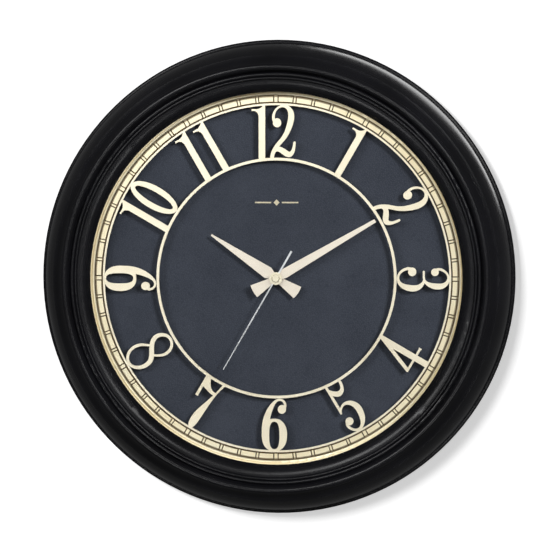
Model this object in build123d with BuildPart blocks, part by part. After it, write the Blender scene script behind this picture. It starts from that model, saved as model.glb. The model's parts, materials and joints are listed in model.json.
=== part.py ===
from build123d import *
from math import atan2, cos, hypot, pi, radians, sin
import os

os.makedirs("parts", exist_ok=True)

# A round battery wall clock, in millimetres.
# The hand axis is the Y axis, the wall is the plane y = 0, the front faces -Y and Z is up.
# A depth is the distance forward of the wall.

# --- overall sizes -------------------------------------------------------------------------
outer_r = 202.5
depth = 50.0
rim_width = 45.0
slack = 0.3
pivot_fit = 0.05
bush_fit = 0.06

# --- depth stack ---------------------------------------------------------------------------
cover_back = 13.5
cover_t = 2.5
cover_front = cover_back + cover_t
dial_back = 20.0
dial_t = 2.0
dial_front = dial_back + dial_t
glass_t = 2.0
glass_back = 34.5
glass_front = glass_back + glass_t
lip_t = 2.5
lip_round = 0.8
lip_front = glass_front + lip_t
numeral_lift = 4.0
numeral_t = 2.0
numeral_back = dial_front + numeral_lift
numeral_front = numeral_back + numeral_t

# --- radii seen from the front -------------------------------------------------------------
lip_r = outer_r - rim_width
seat_r = lip_r + 5.5
glass_r = seat_r - 0.5
dial_r = seat_r - 1.0
spacer_outer_r = seat_r - 1.0
spacer_inner_r = lip_r + 1.3
rim_outer_r = lip_r - 0.2
rim_inner_r = lip_r - 2.3
pad_outer_r = lip_r - 3.3
pad_inner_r = lip_r - 8.0
track_inner_r = lip_r - 9.0
numeral_outer_r = track_inner_r - slack
numeral_outer_w = 1.6
numeral_inner_r = 0.499 * outer_r
numeral_inner_w = 2.3
numeral_base_r = numeral_inner_r + numeral_inner_w / 2
numeral_top_r = numeral_outer_r - numeral_outer_w
numeral_h = numeral_top_r - numeral_base_r
unit = numeral_h / 100

# --- shaft stack ---------------------------------------------------------------------------
arbor_r = 0.55
minute_tube_r = 1.6
minute_bore_r = arbor_r + bush_fit
hour_bore_r = minute_tube_r + bush_fit
hour_tube_r = 2.5
bushing_bore_r = hour_tube_r + bush_fit
bushing_r = 3.5
dial_hole_r = bushing_r + slack
bushing_front = dial_front + 3.0
hour_tube_front = bushing_front + 2.5
minute_tube_front = hour_tube_front + 2.5
arbor_front = minute_tube_front + 1.8

# --- hands ---------------------------------------------------------------------------------
hand_t = 0.5
hour_hand_len = 0.657 * numeral_inner_r
minute_hand_len = 0.964 * numeral_inner_r
second_hand_len = 0.887 * numeral_inner_r
second_tail_len = 0.265 * numeral_inner_r
hour_hand_back = bushing_front + 1.4
minute_hand_back = hour_hand_back + 2.2
second_hand_back = minute_hand_back + 2.0
second_hand_t = 0.3
hand_boss_r = 5.3
cap_r = 3.35
tail_len = 0.215 * numeral_inner_r
shown_hour_turn = -303.6
shown_minute_turn = -59.7
shown_second_turn = -210.0

# --- movement ------------------------------------------------------------------------------
case_half = 28.0
case_wall = 1.5
case_back = 4.0
case_front = dial_back
case_floor = case_front - 1.4
cover_plate_t = 1.5
cover_plate_front = case_back + cover_plate_t
bay_top = -10.2
bay_wall = 1.0
post_r = 2.0
post_x = case_half - case_wall - post_r - 0.2
post_high_z = post_x
post_low_z = bay_top + post_r - 0.1
pivot_r = 0.35
pivot_hole_r = pivot_r + pivot_fit
pivot_len = 0.9
wheel_t = 0.8
pinion_t = 1.2
module_fine = 0.25
train_gap = 9.0
works_gap = 7.5
rotor_gap = 8.75
module_third = 2 * train_gap / (60 + 8)
third_angle = 45.0
intermediate_angle = 120.0
rotor_angle = 100.0
works_angle = 180.0
train_back = 7.6

# --- battery -------------------------------------------------------------------------------
battery_r = 7.1
battery_len = 49.0
battery_z = -19.0
battery_depth = 11.1
nub_r = 2.6
nub_len = 1.1

# --- rear cover and hanger -----------------------------------------------------------------
back_cover_r = lip_r + 18.5
opening_half = case_half + 0.6
cover_recess_r = back_cover_r + slack
cover_screw_count = 8
cover_screw_ring_r = seat_r + 6.5
cover_screw_bite = 9.0
pilot_len = cover_screw_bite + 3.0
screw_r = 1.4
screw_hole_r = screw_r + 0.1
screw_head_r = 3.0
screw_head_t = 1.5
rib_r = lip_r + 0.5
rib_t = 3.0
hanger_z = 0.62 * outer_r
hanger_half = 22.0
hanger_t = 1.2
hanger_back = 4.0
hanger_bridge_half = 13.0
hanger_high = 17.0
keyhole_r = 4.5
slot_r = 2.3
slot_rise = 9.0


# --- drawing helpers -----------------------------------------------------------------------
def polar(radius, turn):
    """A point on the front view, its turn in degrees counterclockwise from +X."""
    return (radius * cos(radians(turn)), radius * sin(radians(turn)))


def ring(outer, inner, back, front, at=(0, 0), mode=Mode.ADD):
    """A disc, or a ring if inner is not zero, across the hand axis between two depths."""
    with BuildSketch(Plane.XZ.offset(back)) as outline:
        with Locations(at):
            Circle(outer)
            if inner:
                Circle(inner, mode=Mode.SUBTRACT)
    extrude(outline.sketch, amount=front - back, mode=mode)


def block(left, right, low, high, back, front, mode=Mode.ADD):
    """A box between two depths."""
    with BuildSketch(Plane.XZ.offset(back)) as outline:
        with Locations(((left + right) / 2, (low + high) / 2)):
            Rectangle(right - left, high - low)
    extrude(outline.sketch, amount=front - back, mode=mode)


def rod(radius, inner, left, right, at_depth, at_z, mode=Mode.ADD):
    """A rod or tube along X."""
    with BuildSketch(Plane.YZ.offset(left)) as outline:
        with Locations((-at_depth, at_z)):
            Circle(radius)
            if inner:
                Circle(inner, mode=Mode.SUBTRACT)
    extrude(outline.sketch, amount=right - left, mode=mode)


# --- gears ---------------------------------------------------------------------------------
tooth_root_share = 0.27
tooth_tip_share = 0.10
addendum = 0.75
dedendum = 1.15


def gear(teeth, module, phase, back, front, at, bore=0, mode=Mode.ADD):
    """A spur gear with straight-sided teeth; phase is the turn of one tooth in degrees."""
    pitch_r = teeth * module / 2
    root_r = pitch_r - dedendum * module
    tip_r = pitch_r + addendum * module
    step = 360 / teeth
    points = []
    for k in range(teeth):
        middle = phase + k * step
        points.append(polar(root_r, middle - tooth_root_share * step))
        points.append(polar(tip_r, middle - tooth_tip_share * step))
        points.append(polar(tip_r, middle + tooth_tip_share * step))
        points.append(polar(root_r, middle + tooth_root_share * step))
    with BuildSketch(Plane.XZ.offset(back)) as outline:
        with Locations(at):
            Polygon(*points, align=None)
            if bore:
                Circle(bore, mode=Mode.SUBTRACT)
    extrude(outline.sketch, amount=front - back, mode=mode)


def meshed(phase, teeth, other_teeth, turn):
    """The phase of a second gear, lying at this turn from the first, whose gap takes its tooth."""
    first = (turn - phase) * teeth / 360
    return turn + 180 - (0.5 - first) * 360 / other_teeth


def spokes(at, hub_r, rim_r, back, front, count=4):
    """Round windows through a wheel's web."""
    window_r = (rim_r - hub_r) * 0.30
    for k in range(count):
        x, z = polar((rim_r + hub_r) / 2, 45 + k * 360 / count)
        ring(window_r, 0, back, front, (at[0] + x, at[1] + z), Mode.SUBTRACT)


centre_at = (0.0, 0.0)
third_at = polar(train_gap, third_angle)
intermediate_at = polar(train_gap, intermediate_angle)
rotor_step = polar(rotor_gap, rotor_angle)
rotor_at = (intermediate_at[0] + rotor_step[0], intermediate_at[1] + rotor_step[1])
works_at = polar(works_gap, works_angle)
knob_at = (works_at[0] - works_gap, works_at[1])

rotor_layer = train_back
intermediate_layer = rotor_layer + 1.8
seconds_layer = intermediate_layer + 1.8
third_layer = seconds_layer + 2.0
cannon_layer = third_layer + 2.0
works_layer = cannon_layer + 1.8
inset = (pinion_t - wheel_t) / 2

intermediate_phase = meshed(0, 10, 60, rotor_angle + 180)
seconds_phase = meshed(0, 12, 60, intermediate_angle + 180)
third_phase = meshed(0, 8, 60, third_angle)
centre_phase = meshed(0, 8, 64, third_angle + 180)
works_phase = meshed(0, 15, 45, works_angle)
hour_phase = meshed(0, 12, 48, works_angle + 180)
knob_phase = meshed(works_phase, 45, 15, 180)

# --- frame ---------------------------------------------------------------------------------
profile = Plane(origin=(0, 0, 0), x_dir=(1, 0, 0), z_dir=(0, 0, -1))


def at_inset(inward, forward):
    """A point of the frame's section, by its distance inside the outer edge."""
    return (outer_r - inward, forward)


def crest(share):
    """A depth between the lip and the top of the frame's bead."""
    return lip_front + share * (depth - lip_front)


with BuildPart() as frame:
    with BuildSketch(profile):
        with BuildLine():
            Line(at_inset(0, 0), at_inset(0, 0.24 * depth))
            ThreePointArc(at_inset(0, 0.24 * depth), at_inset(0.6, 0.268 * depth), at_inset(2.0, 0.28 * depth))
            Line(at_inset(2.0, 0.28 * depth), at_inset(2.9, 0.284 * depth))
            Line(at_inset(2.9, 0.284 * depth), at_inset(3.3, 0.3 * depth))
            ThreePointArc(at_inset(3.3, 0.3 * depth), at_inset(6.6, 0.6 * depth), at_inset(14.0, crest(0.27)))
            ThreePointArc(at_inset(14.0, crest(0.27)), at_inset(17.5, crest(0.36)), at_inset(21.0, crest(0.64)))
            ThreePointArc(at_inset(21.0, crest(0.64)), at_inset(23.9, depth), at_inset(27.5, crest(0.73)))
            Line(at_inset(27.5, crest(0.73)), at_inset(28.8, crest(0.545)))
            ThreePointArc(at_inset(28.8, crest(0.545)), at_inset(30.5, crest(0.71)), at_inset(32.3, crest(0.56)))
            ThreePointArc(at_inset(32.3, crest(0.56)), at_inset(33.5, crest(0.66)), at_inset(34.7, crest(0.56)))
            Line(at_inset(34.7, crest(0.56)), at_inset(35.1, crest(0.5)))
            ThreePointArc(at_inset(35.1, crest(0.5)), at_inset(39.0, crest(0.44)), at_inset(42.0, crest(0.3)))
            ThreePointArc(at_inset(42.0, crest(0.3)), at_inset(43.8, crest(0.1)), (lip_r, lip_front - lip_round))
            Line((lip_r, lip_front - lip_round), (lip_r, glass_front))
            Line((lip_r, glass_front), (seat_r, glass_front))
            Line((seat_r, glass_front), (seat_r, cover_front))
            Line((seat_r, cover_front), (cover_recess_r, cover_front))
            Line((cover_recess_r, cover_front), (cover_recess_r, 0))
            Line((cover_recess_r, 0), at_inset(0, 0))
        make_face()
    revolve(axis=Axis.Y)
    for k in range(cover_screw_count):
        pilot_at = polar(cover_screw_ring_r, 22.5 + k * 360 / cover_screw_count)
        ring(screw_hole_r, 0, cover_front, cover_front + pilot_len, pilot_at, Mode.SUBTRACT)
frame.part.label = "frame"
export_step(frame.part, "parts/frame.step")

# --- glass ---------------------------------------------------------------------------------
with BuildPart() as glass_lens:
    ring(glass_r, 0, glass_back, glass_front)
glass_lens.part.label = "glass_lens"
export_step(glass_lens.part, "parts/glass_lens.step")

# --- minute ring ---------------------------------------------------------------------------
minutes = 60
separator_w = 1.5
separator_hour_w = 2.7
pad_gap = 1.0
pad_base = dial_front + 5.0
pad_front = pad_base + 2.0
rim_front = pad_base + 4.0
rim_round = 1.0
with BuildPart() as minute_ring:
    with BuildSketch(profile):
        with BuildLine():
            Polyline(
                (track_inner_r, dial_front),
                (spacer_outer_r, dial_front),
                (spacer_outer_r, glass_back),
                (spacer_inner_r, glass_back),
                (spacer_inner_r, rim_front - rim_round),
                (rim_outer_r, rim_front - rim_round),
            )
            ThreePointArc(
                (rim_outer_r, rim_front - rim_round),
                ((rim_outer_r + rim_inner_r) / 2, rim_front),
                (rim_inner_r, rim_front - rim_round),
            )
            Polyline(
                (rim_inner_r, rim_front - rim_round),
                (rim_inner_r, pad_base),
                (track_inner_r, pad_base),
                (track_inner_r, dial_front),
            )
        make_face()
    revolve(axis=Axis.Y)
    ring(spacer_inner_r - 0.5, track_inner_r + 1.5, dial_front, pad_base - 1.5, mode=Mode.SUBTRACT)
    with BuildSketch(Plane.XZ.offset(pad_base)) as pads:
        Circle(pad_outer_r)
        Circle(pad_inner_r, mode=Mode.SUBTRACT)
        for k in range(minutes):
            bar_w = separator_w if k % 5 else separator_hour_w
            with Locations(Location((0, 0, 0), (0, 0, k * 360 / minutes))):
                with Locations(((pad_outer_r + pad_inner_r) / 2, 0)):
                    Rectangle(pad_outer_r - pad_inner_r + 2, bar_w + 2 * pad_gap, mode=Mode.SUBTRACT)
    extrude(amount=pad_front - pad_base)
    with BuildSketch(Plane.XZ.offset(pad_base)) as separators:
        for k in range(minutes):
            bar_w = separator_w if k % 5 else separator_hour_w
            with Locations(Location((0, 0, 0), (0, 0, k * 360 / minutes))):
                with Locations(((pad_inner_r + rim_inner_r) / 2, 0)):
                    Rectangle(rim_inner_r - pad_inner_r + 0.4, bar_w)
    extrude(amount=pad_front - pad_base)
minute_ring.part.label = "minute_ring"
export_step(minute_ring.part, "parts/minute_ring.step")


# --- numerals ------------------------------------------------------------------------------
# A numeral is drawn in hundredths of its height, its foot on y = 0, from the shapes of a
# high-contrast book face: (x, y, half width) along each stroke.
def scaled(*points):
    return [(unit * x, unit * y) for x, y in points]


def stroke(*points):
    """Add a stroke of changing width, round at both ends, to the current sketch."""
    left = []
    right = []
    last = len(points) - 1
    for k, (x, y, half) in enumerate(points):
        before = points[max(k - 1, 0)]
        after = points[min(k + 1, last)]
        run, rise = after[0] - before[0], after[1] - before[1]
        size = hypot(run, rise)
        left.append((unit * (x - half * rise / size), unit * (y + half * run / size)))
        right.append((unit * (x + half * rise / size), unit * (y - half * run / size)))
    with BuildSketch() as body:
        with BuildLine():
            Spline(*left)
            Line(left[-1], right[-1])
            Spline(*right)
            Line(right[0], left[0])
        make_face()
        for x, y, half in (points[0], points[-1]):
            with Locations((unit * x, unit * y)):
                Circle(unit * half)
    add(body.sketch)


def ball(x, y, wide, high):
    """Add the round terminal of a stroke to the current sketch."""
    with Locations((unit * x, unit * y)):
        Ellipse(unit * wide, unit * high)


def oval(x, y, wide, high, fullness, mode=Mode.ADD):
    """Add a bowl, fuller at the corners than an ellipse, to the current sketch."""
    points = []
    for k in range(16):
        across, up = cos(k * pi / 8), sin(k * pi / 8)
        reach = (abs(across) ** fullness + abs(up) ** fullness) ** (-1 / fullness)
        points.append((unit * (x + wide * reach * across), unit * (y + high * reach * up)))
    with BuildSketch() as body:
        with BuildLine():
            Spline(*points, periodic=True)
        make_face()
    add(body.sketch, mode=mode)


with BuildSketch() as digit_1:
    with BuildLine():
        Polyline(*scaled((-6.2, 79), (-6.2, -3), (6.2, -3), (6.2, 101.5), (3.0, 101.5)))
        Spline(*scaled((3.0, 101.5), (-2.0, 95.2), (-9.0, 92.3)))
        Polyline(*scaled((-9.0, 92.3), (-19.7, 92.3), (-19.7, 89.0)))
        Spline(*scaled((-19.7, 89.0), (-10.5, 87.0), (-6.2, 79)))
    make_face()

with BuildSketch() as digit_2:
    stroke(
        (-16.0, 67.5, 2.6),
        (-18.2, 77, 2.5),
        (-14.8, 89, 2.1),
        (-7.5, 96.2, 2.1),
        (1, 98.2, 2.5),
        (9, 95.2, 3.6),
        (14.4, 87.5, 5.0),
        (15.8, 77, 5.7),
        (13.4, 64, 5.6),
        (8.4, 50, 4.8),
        (0.5, 36.5, 4.2),
        (-9.8, 24.5, 3.9),
        (-17.2, 13, 3.8),
        (-21.2, -2.0, 3.6),
    )
    ball(-11.2, 66.4, 8.0, 8.6)
    stroke(
        (-17.2, 10.5, 2.8),
        (-13, 15.2, 3.8),
        (-8, 16.4, 4.8),
        (-1, 13.2, 5.3),
        (6.5, 8.0, 5.5),
        (13.2, 6.4, 5.0),
        (18, 11, 3.6),
        (20.8, 18.5, 2.7),
        (22, 28.5, 2.3),
    )

with BuildSketch() as digit_3:
    stroke(
        (-16.6, 73, 2.4),
        (-18.8, 81.5, 2.4),
        (-14, 92, 2.1),
        (-5, 98, 2.1),
        (4, 97.0, 2.9),
        (10.8, 91, 4.4),
        (13.9, 81, 5.5),
        (12.8, 69, 5.2),
        (8.6, 58.5, 3.4),
        (2.6, 52.9, 2.2),
        (-4.5, 51.4, 1.9),
        (-14, 51.4, 2.0),
    )
    ball(-13.2, 72.6, 7.2, 7.2)
    stroke(
        (-4.5, 51.4, 1.9),
        (3.5, 51.6, 2.2),
        (11, 47.4, 3.6),
        (16.2, 39.5, 5.2),
        (17.4, 28.5, 6.0),
        (15, 16.5, 5.2),
        (9, 6.8, 3.6),
        (0, 2.6, 2.3),
        (-9, 4.4, 2.2),
        (-16.6, 12, 2.5),
        (-19.9, 21.5, 2.8),
        (-18.4, 28.5, 3.2),
    )
    ball(-13.9, 29.4, 8.3, 7.8)

with BuildSketch() as digit_4:
    Polygon(
        *scaled((8.4, -3), (8.4, 103), (2.2, 103), (-28.8, 25.6), (-28, 23), (-3.6, 23), (-3.6, -3)),
        align=None,
    )
    Polygon(*scaled((-3.6, 70), (-3.6, 27.4), (-20.8, 27.4)), align=None, mode=Mode.SUBTRACT)
    Polygon(
        *scaled((-3.6, 23), (19.5, 23), (23.4, 22), (23.4, 28.6), (19.5, 27.4), (-3.6, 27.4)),
        align=None,
    )

with BuildSketch() as digit_5:
    Polygon(*scaled((-23.6, 102), (-19, 102), (-17.6, 55), (-19.6, 42.5), (-22.8, 42.5)), align=None)
    stroke(
        (-22.2, 97.5, 1.4),
        (-18.4, 88.5, 3.8),
        (-12, 82, 4.8),
        (-4.8, 79.2, 5.0),
        (1.8, 82, 3.9),
        (5.8, 88.5, 3.0),
        (7.2, 95, 2.6),
        (7.1, 101.5, 2.4),
    )
    stroke(
        (-20.6, 45, 1.6),
        (-15.8, 53, 2.0),
        (-8, 57, 2.5),
        (0.5, 55.6, 3.6),
        (8, 49.6, 4.9),
        (12.4, 40, 5.7),
        (12.8, 28, 5.7),
        (9.6, 15, 4.7),
        (3.6, 6, 3.3),
        (-4, 1.9, 2.4),
        (-12, 3.2, 2.2),
        (-18.8, 9.4, 2.3),
        (-21.7, 17, 2.4),
        (-19.6, 23.5, 2.6),
    )
    ball(-14.6, 23.4, 7.8, 7.6)

with BuildSketch() as digit_6:
    oval(-3.2, 29.8, 24.4, 31.3, 2.25)
    stroke(
        (-21.0, 34, 6.4),
        (-20.0, 50, 6.7),
        (-16.6, 66, 6.0),
        (-11, 80, 4.7),
        (-4, 91, 3.1),
        (3.6, 96.8, 2.2),
        (11.2, 96.6, 2.0),
        (16.8, 90.5, 2.2),
        (16.2, 81.5, 2.5),
    )
    ball(11.2, 79.0, 7.9, 8.4)
    oval(-3.4, 28.8, 9.9, 26.4, 2.6, Mode.SUBTRACT)

with BuildSketch() as digit_7:
    with BuildLine():
        Spline(*scaled((14.3, 102), (8.1, 76), (-0.4, 50), (-6.6, 31), (-8.3, 17), (-7.2, 6), (-3.4, -1.5)))
        Line(*scaled((-3.4, -1.5), (3.4, -1.5)))
        Spline(*scaled((3.4, -1.5), (6.8, 10), (8.3, 25), (9.8, 50), (12.6, 76), (19.7, 102)))
        Line(*scaled((19.7, 102), (14.3, 102)))
    make_face()
    with BuildLine():
        Polyline(*scaled((-17.4, 76), (-17.4, 58.9), (-23.2, 58.9), (-22.6, 103.4), (-12, 103.4)))
        Spline(*scaled((-12, 103.4), (-7.4, 91), (-0.6, 83.4), (9.6, 80.6)))
        Line(*scaled((9.6, 80.6), (9.6, 74.6)))
        Spline(*scaled((9.6, 74.6), (0, 75.2), (-9.5, 77.8), (-17.4, 80)))
        Line(*scaled((-17.4, 80), (-17.4, 76)))
    make_face()

with BuildSketch() as digit_8:
    stroke(
        (11.0, 51.4, 2.0),
        (17.2, 62.0, 2.4),
        (19.9, 73, 2.8),
        (16.4, 86.0, 2.8),
        (9.2, 93.0, 2.6),
        (0.3, 95.2, 2.6),
        (-8.6, 92.6, 2.7),
    )
    stroke(
        (0.3, 95.2, 2.6),
        (-8.6, 92.6, 2.8),
        (-15.6, 84.6, 3.3),
        (-17.8, 74.0, 3.9),
        (-12.8, 63.0, 4.4),
        (-3.4, 55.4, 4.5),
        (8.4, 48.4, 4.6),
        (17.0, 39.8, 4.5),
        (20.0, 28.2, 4.0),
        (17.0, 14.6, 3.3),
        (9.6, 5.6, 2.8),
        (0.2, 2.4, 2.6),
    )
    stroke(
        (9.6, 5.6, 2.7),
        (0.2, 2.4, 2.6),
        (-10.2, 5.4, 2.6),
        (-18.4, 14.4, 2.7),
        (-21.4, 27, 2.8),
        (-18.6, 40.4, 2.6),
        (-12.4, 50.4, 2.2),
        (-9.0, 55.0, 2.0),
    )

with BuildSketch() as digit_0:
    Ellipse(unit * 21.6, unit * 50.4)
    Ellipse(unit * 10.4, unit * 41.5, mode=Mode.SUBTRACT)

half_turn = 180
numerals = {
    12: [(digit_1, -27.0, 0, 0), (digit_2, 13.2, 0, 0)],
    1: [(digit_1, 2.9, 0, 0)],
    2: [(digit_2, -1.2, 0, 0)],
    3: [(digit_3, 0.5, 0, 0)],
    4: [(digit_4, 0, 0, 0)],
    5: [(digit_5, 0, 0, 0)],
    6: [(digit_6, 0, 0, 0)],
    7: [(digit_7, 0, 0, 0)],
    8: [(digit_8, 0, 0, 0)],
    9: [(digit_6, -4.4, 100, half_turn)],
    10: [(digit_1, -23.7, 0, 0), (digit_0, 16.3, 50, 0)],
    11: [(digit_1, -18.0, 0, 0), (digit_1, 21.6, 0, 0)],
}
head_inward = (4, 5, 6, 7, 8)
peg_outer_r = 0.75
peg_inner_r = 1.0
with BuildPart() as numeral_ring:
    ring(numeral_outer_r, numeral_top_r, numeral_back, numeral_front)
    ring(numeral_base_r, numeral_inner_r - numeral_inner_w / 2, numeral_back, numeral_front)
    with BuildSketch(Plane.XZ.offset(numeral_back)):
        for hour, digits in numerals.items():
            with Locations(Location((0, 0, 0), (0, 0, -30 * hour))):
                for digit, shift, rise, turn in digits:
                    if hour in head_inward:
                        spot = Location((-unit * shift, numeral_top_r - unit * rise, 0), (0, 0, 180 + turn))
                    else:
                        spot = Location((unit * shift, numeral_base_r + unit * rise, 0), (0, 0, turn))
                    with Locations(spot):
                        add(digit.sketch)
    extrude(amount=numeral_t)
    for k in range(12):
        ring(peg_outer_r, 0, dial_front, numeral_back, polar(numeral_outer_r - numeral_outer_w / 2, 15 + 30 * k))
        ring(peg_inner_r, 0, dial_front, numeral_back, polar(numeral_inner_r, 15 + 30 * k))
numeral_ring.part.label = "numeral_ring"
export_step(numeral_ring.part, "parts/numeral_ring.step")

# --- dial ----------------------------------------------------------------------------------
with BuildPart() as dial_plate:
    ring(dial_r, dial_hole_r, dial_back, dial_front)
dial_plate.part.label = "dial_plate"
export_step(dial_plate.part, "parts/dial_plate.step")

emblem_z = 0.317 * outer_r
emblem_t = 0.3
lozenge_half = 2.6
bar_near = 4.6
bar_far = 18.5
bar_half = 0.6
with BuildPart() as dial_emblem:
    with BuildSketch(Plane.XZ.offset(dial_front)):
        with Locations((0, emblem_z)):
            Polygon((lozenge_half, 0), (0, lozenge_half), (-lozenge_half, 0), (0, -lozenge_half), align=None)
        for side in (-1, 1):
            with Locations((side * (bar_near + bar_far) / 2, emblem_z)):
                Rectangle(bar_far - bar_near, 2 * bar_half)
    extrude(amount=emblem_t)
dial_emblem.part.label = "dial_emblem"
export_step(dial_emblem.part, "parts/dial_emblem.step")


# --- hands ---------------------------------------------------------------------------------
def hand_blade(tip, tip_half, shoulder_half, waist_half, tail_half, turn, back, thick):
    """A tapered blade with a flared tail, turned from straight up."""
    right_side = [
        (tip_half, tip),
        (shoulder_half, 1.58 * hand_boss_r),
        (waist_half, 0.88 * hand_boss_r),
        (0.84 * waist_half, -hand_boss_r),
        (tail_half, -tail_len),
    ]
    left_side = [(-x, y) for x, y in reversed(right_side)]
    with BuildSketch() as blade:
        with BuildLine():
            Polyline(*left_side, *right_side)
            ThreePointArc(right_side[-1], (0, -hypot(tail_half, tail_len)), left_side[0])
        make_face()
        Circle(0.97 * hand_boss_r)
    with BuildSketch(Plane.XZ.offset(back)) as outline:
        with Locations(Location((0, 0, 0), (0, 0, turn))):
            add(blade.sketch)
    extrude(outline.sketch, amount=thick)


hour_bush_r = hour_tube_r + 1.7
minute_bush_back = minute_hand_back - 0.8
with BuildPart() as hour_hand:
    hand_blade(hour_hand_len, 0.8, 5.2, 3.6, 5.8, shown_hour_turn, hour_hand_back, hand_t)
    ring(hour_tube_r, 0, hour_hand_back, hour_hand_back + hand_t, mode=Mode.SUBTRACT)
hour_hand.part.label = "hour_hand"
export_step(hour_hand.part, "parts/hour_hand.step")

with BuildPart() as hour_bush:
    ring(hour_bush_r, hour_tube_r, bushing_front + 0.4, hour_hand_back)
    ring(hour_bush_r, hour_tube_r, hour_hand_back + hand_t, hour_tube_front - 0.1)
hour_bush.part.label = "hour_bush"
export_step(hour_bush.part, "parts/hour_bush.step")

with BuildPart() as minute_hand:
    hand_blade(minute_hand_len, 1.5, 4.1, 3.4, 5.8, shown_minute_turn, minute_hand_back, hand_t)
    ring(minute_tube_r, 0, minute_hand_back, minute_hand_back + hand_t, mode=Mode.SUBTRACT)
minute_hand.part.label = "minute_hand"
export_step(minute_hand.part, "parts/minute_hand.step")

minute_bush_t = 0.8
minute_bush_r = 4.4
with BuildPart() as minute_bush:
    ring(minute_tube_r + 1.6, minute_tube_r, minute_bush_back, minute_hand_back)
    ring(minute_bush_r, minute_tube_r, minute_hand_back + hand_t, minute_hand_back + hand_t + minute_bush_t)
    chamfer(minute_bush.faces().sort_by(Axis.Y)[0].outer_wire().edges(), 0.4)
minute_bush.part.label = "minute_bush"
export_step(minute_bush.part, "parts/minute_bush.step")

second_half = 0.65
second_tail_half = 0.85
with BuildPart() as second_hand:
    with BuildSketch(Plane.XZ.offset(second_hand_back)) as second_outline:
        with Locations(Location((0, 0, 0), (0, 0, shown_second_turn))):
            Polygon(
                (0.6 * second_half, second_hand_len),
                (second_half, 0),
                (second_tail_half, -second_tail_len),
                (-second_tail_half, -second_tail_len),
                (-second_half, 0),
                (-0.6 * second_half, second_hand_len),
                align=None,
            )
            Circle(0.8 * cap_r)
        Circle(arbor_r, mode=Mode.SUBTRACT)
    extrude(amount=second_hand_t)
second_hand.part.label = "second_hand"
export_step(second_hand.part, "parts/second_hand.step")

cap_front = arbor_front + 0.8
flange_t = 0.5
with BuildPart() as second_cap:
    ring(arbor_r + 1.0, arbor_r, minute_tube_front + 0.2, second_hand_back)
    ring(cap_r, 0, second_hand_back + second_hand_t, cap_front)
    ring(arbor_r, 0, second_hand_back + second_hand_t, arbor_front, mode=Mode.SUBTRACT)
    fillet(second_cap.faces().sort_by(Axis.Y)[0].outer_wire().edges(), 0.9)
    ring(hand_boss_r, cap_r, second_hand_back + second_hand_t, second_hand_back + second_hand_t + flange_t)
second_cap.part.label = "second_cap"
export_step(second_cap.part, "parts/second_cap.step")

# --- fixing nut and washer -----------------------------------------------------------------
washer_t = 0.4
nut_t = 2.2
nut_r = 5.2
with BuildPart() as dial_washer:
    ring(nut_r + 0.8, bushing_r, dial_front, dial_front + washer_t)
dial_washer.part.label = "dial_washer"
export_step(dial_washer.part, "parts/dial_washer.step")

with BuildPart() as fixing_nut:
    with BuildSketch(Plane.XZ.offset(dial_front + washer_t)):
        RegularPolygon(nut_r, 6)
        Circle(bushing_r, mode=Mode.SUBTRACT)
    extrude(amount=nut_t)
fixing_nut.part.label = "fixing_nut"
export_step(fixing_nut.part, "parts/fixing_nut.step")

# --- movement case -------------------------------------------------------------------------
inner_half = case_half - case_wall
posts = [(-post_x, post_high_z), (post_x, post_high_z), (-post_x, post_low_z), (post_x, post_low_z)]
board_posts = [(20.7, -2.0), (20.7, 9.5)]
board_left = 15.5
board_right = 26.0
board_low = -5.0
board_high = 12.0
board_back = 9.0
board_front = board_back + 1.0
core_back = 10.5
core_front = core_back + 1.0
stator_back = core_back - 1.0
tab_inner = 16.0
tab_outer = 20.0
stud_r = 0.9
case_screw_r = 0.8
with BuildPart() as movement_case:
    block(-case_half, case_half, -case_half, case_half, cover_plate_front, case_front)
    fillet(movement_case.edges().filter_by(Axis.Y), 2.0)
    block(-inner_half, inner_half, bay_top, inner_half, cover_plate_front, case_floor, Mode.SUBTRACT)
    block(-inner_half, inner_half, -inner_half, bay_top - bay_wall, cover_plate_front, case_floor, Mode.SUBTRACT)
    for spot in posts:
        ring(post_r, 0, cover_plate_front, case_floor, spot)
        ring(case_screw_r, 0, cover_plate_front, cover_plate_front + 6, spot, Mode.SUBTRACT)
    for spot in board_posts:
        ring(1.2, 0, board_front, case_floor, spot)
    for side in (-1, 1):
        ring(1.4, 0, core_back, case_floor, (side * (tab_inner + tab_outer) / 2, 17.0))
    ring(stud_r, 0, cannon_layer - 0.1, case_floor, works_at)
    ring(bushing_r, 0, case_front, bushing_front)
    ring(bushing_bore_r, 0, case_floor, bushing_front, mode=Mode.SUBTRACT)
    for spot in (third_at, intermediate_at, rotor_at):
        ring(pivot_hole_r, 0, case_floor, case_floor + pivot_len, spot, Mode.SUBTRACT)
    ring(1.3, 0, case_floor, case_floor + pivot_len, knob_at, Mode.SUBTRACT)
movement_case.part.label = "movement_case"
export_step(movement_case.part, "parts/movement_case.step")

knob_stem_r = 1.2
with BuildPart() as movement_cover:
    block(-case_half, case_half, bay_top - bay_wall, case_half, case_back, cover_plate_front)
    fillet(movement_cover.edges().filter_by(Axis.Y).sort_by(Axis.Z)[-2:], 2.0)
    for spot in posts:
        ring(case_screw_r + 0.1, 0, case_back, cover_plate_front, spot, Mode.SUBTRACT)
    for spot in (third_at, intermediate_at, rotor_at, centre_at):
        ring(pivot_hole_r, 0, cover_plate_front - pivot_len, cover_plate_front, spot, Mode.SUBTRACT)
    ring(knob_stem_r + pivot_fit, 0, case_back, cover_plate_front, knob_at, Mode.SUBTRACT)
    for k in range(5):
        block(8 + 2.4 * k, 9.2 + 2.4 * k, -6, 4, case_back, case_back + 0.5, Mode.SUBTRACT)
movement_cover.part.label = "movement_cover"
export_step(movement_cover.part, "parts/movement_cover.step")

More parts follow.
